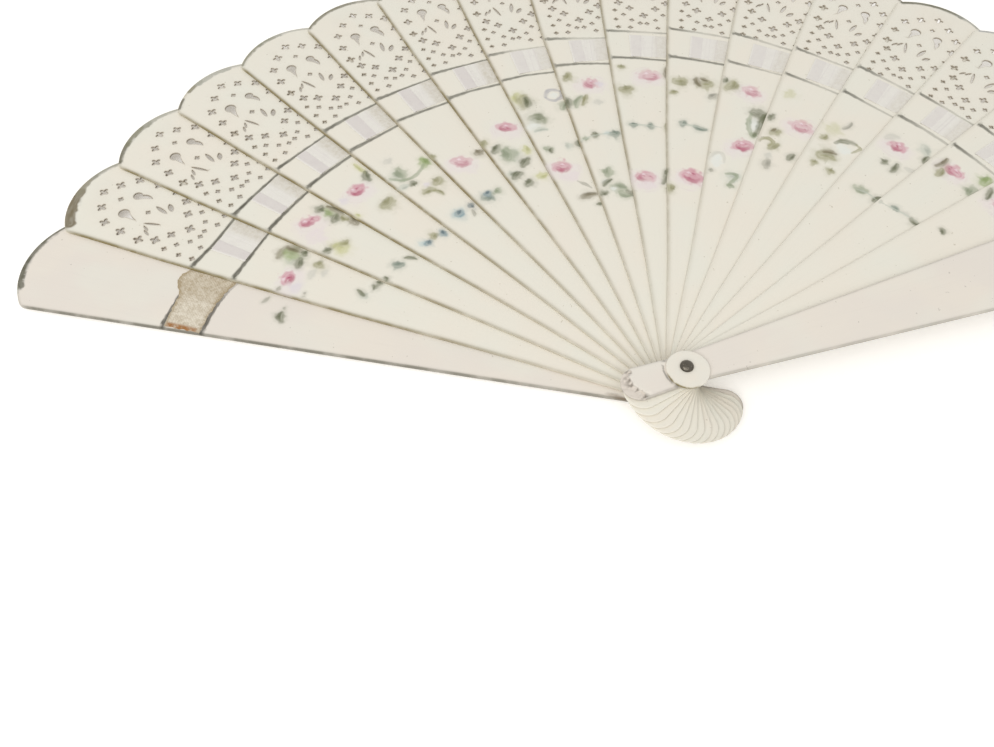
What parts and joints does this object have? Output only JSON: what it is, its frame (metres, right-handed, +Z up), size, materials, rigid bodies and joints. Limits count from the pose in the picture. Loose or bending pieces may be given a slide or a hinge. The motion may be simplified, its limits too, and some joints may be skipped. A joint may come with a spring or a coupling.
{
  "type": "folding fan",
  "caption": "Brisé folding fan of flat pierced sticks with scalloped tips on one rivet, threaded by a silk ribbon, that spreads to a wide arc and folds into a slim stack.",
  "frame": {"origin": "on the pivot axis, at the flat underside of the rivet", "axes": "+Z up along the rivet and out of the fan's front, +Y along the middle of the spread fan, +X across it, towards the front guard"},
  "size_m": [0.3584, 0.203, 0.017],
  "materials": {
    "stick": "thin ivory-coloured celluloid, satin, with painted garlands and darkened edges",
    "guard": "ivory-coloured celluloid, satin",
    "washer": "ivory-coloured disc, satin",
    "rivet_metal": "darkened steel pin with a domed head",
    "ribbon": "thin white silk ribbon with a faint lavender cast",
    "glued_ribbon": "silk ribbon end stained ochre by old glue"
  },
  "bodies": {
    "back_guard": {"back_guard": "guard", "ribbon_01": "glued_ribbon", "rivet": "rivet_metal", "back_washer": "washer", "front_washer": "washer"},
    "stick_02": {"stick_02": "stick", "ribbon_02": "ribbon"},
    "stick_03": {"stick_03": "stick", "ribbon_03": "ribbon"},
    "stick_04": {"stick_04": "stick", "ribbon_04": "ribbon"},
    "stick_05": {"stick_05": "stick", "ribbon_05": "ribbon"},
    "stick_06": {"stick_06": "stick", "ribbon_06": "ribbon"},
    "stick_07": {"stick_07": "stick", "ribbon_07": "ribbon"},
    "stick_08": {"stick_08": "stick", "ribbon_08": "ribbon"},
    "stick_09": {"stick_09": "stick", "ribbon_09": "ribbon"},
    "stick_10": {"stick_10": "stick", "ribbon_10": "ribbon"},
    "stick_11": {"stick_11": "stick", "ribbon_11": "ribbon"},
    "stick_12": {"stick_12": "stick", "ribbon_12": "ribbon"},
    "stick_13": {"stick_13": "stick", "ribbon_13": "ribbon"},
    "stick_14": {"stick_14": "stick", "ribbon_14": "ribbon"},
    "stick_15": {"stick_15": "stick", "ribbon_15": "ribbon"},
    "stick_16": {"stick_16": "stick", "ribbon_16": "ribbon"},
    "stick_17": {"stick_17": "stick", "ribbon_17": "ribbon"},
    "front_guard": {"front_guard": "guard"}
  },
  "joints": [
    {"name": "front_guard_turn", "type": "hinge", "parent": "back_guard", "child": "front_guard", "pos_m": [0, 0, 0.0145], "axis": [0, 0, 1], "range_deg": [0, 147]},
    {"name": "stick_02_turn", "type": "hinge", "parent": "back_guard", "child": "stick_02", "pos_m": [0, 0, 0.00298], "axis": [0, 0, 1], "range_deg": [0, 8.66]},
    {"name": "stick_03_turn", "type": "hinge", "parent": "back_guard", "child": "stick_03", "pos_m": [0, 0, 0.00367], "axis": [0, 0, 1], "range_deg": [0, 17.3]},
    {"name": "stick_04_turn", "type": "hinge", "parent": "back_guard", "child": "stick_04", "pos_m": [0, 0, 0.00438], "axis": [0, 0, 1], "range_deg": [0, 25.95]},
    {"name": "stick_05_turn", "type": "hinge", "parent": "back_guard", "child": "stick_05", "pos_m": [0, 0, 0.00507], "axis": [0, 0, 1], "range_deg": [0, 34.6]},
    {"name": "stick_06_turn", "type": "hinge", "parent": "back_guard", "child": "stick_06", "pos_m": [0, 0, 0.00577], "axis": [0, 0, 1], "range_deg": [0, 43.25]},
    {"name": "stick_07_turn", "type": "hinge", "parent": "back_guard", "child": "stick_07", "pos_m": [0, 0, 0.00647], "axis": [0, 0, 1], "range_deg": [0, 51.89]},
    {"name": "stick_08_turn", "type": "hinge", "parent": "back_guard", "child": "stick_08", "pos_m": [0, 0, 0.00717], "axis": [0, 0, 1], "range_deg": [0, 60.54]},
    {"name": "stick_09_turn", "type": "hinge", "parent": "back_guard", "child": "stick_09", "pos_m": [0, 0, 0.00788], "axis": [0, 0, 1], "range_deg": [0, 69.19]},
    {"name": "stick_10_turn", "type": "hinge", "parent": "back_guard", "child": "stick_10", "pos_m": [0, 0, 0.00857], "axis": [0, 0, 1], "range_deg": [0, 77.83]},
    {"name": "stick_11_turn", "type": "hinge", "parent": "back_guard", "child": "stick_11", "pos_m": [0, 0, 0.00928], "axis": [0, 0, 1], "range_deg": [0, 86.48]},
    {"name": "stick_12_turn", "type": "hinge", "parent": "back_guard", "child": "stick_12", "pos_m": [0, 0, 0.00997], "axis": [0, 0, 1], "range_deg": [0, 95.13]},
    {"name": "stick_13_turn", "type": "hinge", "parent": "back_guard", "child": "stick_13", "pos_m": [0, 0, 0.01068], "axis": [0, 0, 1], "range_deg": [0, 103.77]},
    {"name": "stick_14_turn", "type": "hinge", "parent": "back_guard", "child": "stick_14", "pos_m": [0, 0, 0.01137], "axis": [0, 0, 1], "range_deg": [0, 112.42]},
    {"name": "stick_15_turn", "type": "hinge", "parent": "back_guard", "child": "stick_15", "pos_m": [0, 0, 0.01208], "axis": [0, 0, 1], "range_deg": [0, 121.07]},
    {"name": "stick_16_turn", "type": "hinge", "parent": "back_guard", "child": "stick_16", "pos_m": [0, 0, 0.01277], "axis": [0, 0, 1], "range_deg": [0, 129.72]},
    {"name": "stick_17_turn", "type": "hinge", "parent": "back_guard", "child": "stick_17", "pos_m": [0, 0, 0.01348], "axis": [0, 0, 1], "range_deg": [0, 138.36]}
  ],
  "couplings": [
    {"joint": "stick_02_turn", "follows": "front_guard_turn", "ratio": 0.058824},
    {"joint": "stick_03_turn", "follows": "front_guard_turn", "ratio": 0.11765},
    {"joint": "stick_04_turn", "follows": "front_guard_turn", "ratio": 0.17647},
    {"joint": "stick_05_turn", "follows": "front_guard_turn", "ratio": 0.23529},
    {"joint": "stick_06_turn", "follows": "front_guard_turn", "ratio": 0.29412},
    {"joint": "stick_07_turn", "follows": "front_guard_turn", "ratio": 0.35294},
    {"joint": "stick_08_turn", "follows": "front_guard_turn", "ratio": 0.41176},
    {"joint": "stick_09_turn", "follows": "front_guard_turn", "ratio": 0.47059},
    {"joint": "stick_10_turn", "follows": "front_guard_turn", "ratio": 0.52941},
    {"joint": "stick_11_turn", "follows": "front_guard_turn", "ratio": 0.58823},
    {"joint": "stick_12_turn", "follows": "front_guard_turn", "ratio": 0.64706},
    {"joint": "stick_13_turn", "follows": "front_guard_turn", "ratio": 0.70588},
    {"joint": "stick_14_turn", "follows": "front_guard_turn", "ratio": 0.76471},
    {"joint": "stick_15_turn", "follows": "front_guard_turn", "ratio": 0.82353},
    {"joint": "stick_16_turn", "follows": "front_guard_turn", "ratio": 0.88235},
    {"joint": "stick_17_turn", "follows": "front_guard_turn", "ratio": 0.94118}
  ]
}
